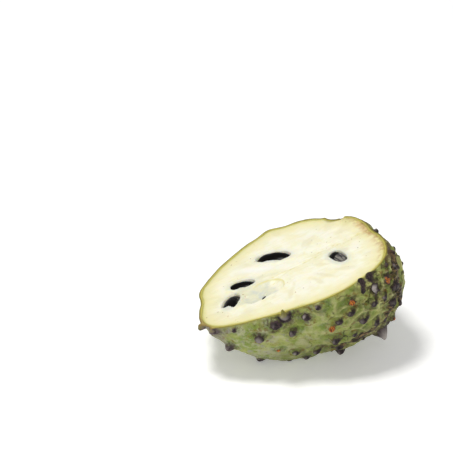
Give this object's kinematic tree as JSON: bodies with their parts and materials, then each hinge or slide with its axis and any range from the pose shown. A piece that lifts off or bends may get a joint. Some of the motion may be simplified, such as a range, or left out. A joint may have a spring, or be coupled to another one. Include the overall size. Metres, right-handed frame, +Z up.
{
  "type": "custard apple half",
  "caption": "Half of a ripe custard apple, cut lengthwise and lying on its knobbly green rind, with cream flesh and glossy black seeds in their pockets.",
  "frame": {"origin": "on the surface the half lies on, under the middle of its bounding box", "axes": "+X horizontal, the way the stem end points, along the fruit's length; +Y to the side away from the viewer; +Z up. The cut face is tipped: stem end up, far side slightly down"},
  "size_m": [0.1074, 0.0954, 0.0568],
  "materials": {
    "rind": "grey-green fruit skin with a dull bloom, darker purple-brown knobs and streaks, paler yellow-green at the cut",
    "flesh": "moist cream fruit flesh, smooth from the knife, slightly translucent, yellower towards the rind",
    "seed": "hard glossy black seed coat, brownish where it thins at the tip"
  },
  "bodies": {
    "root": {"rind": "rind", "flesh": "flesh", "seed_1": "seed", "seed_2": "seed", "seed_3": "seed", "seed_4": "seed", "seed_5": "seed"}
  },
  "joints": []
}
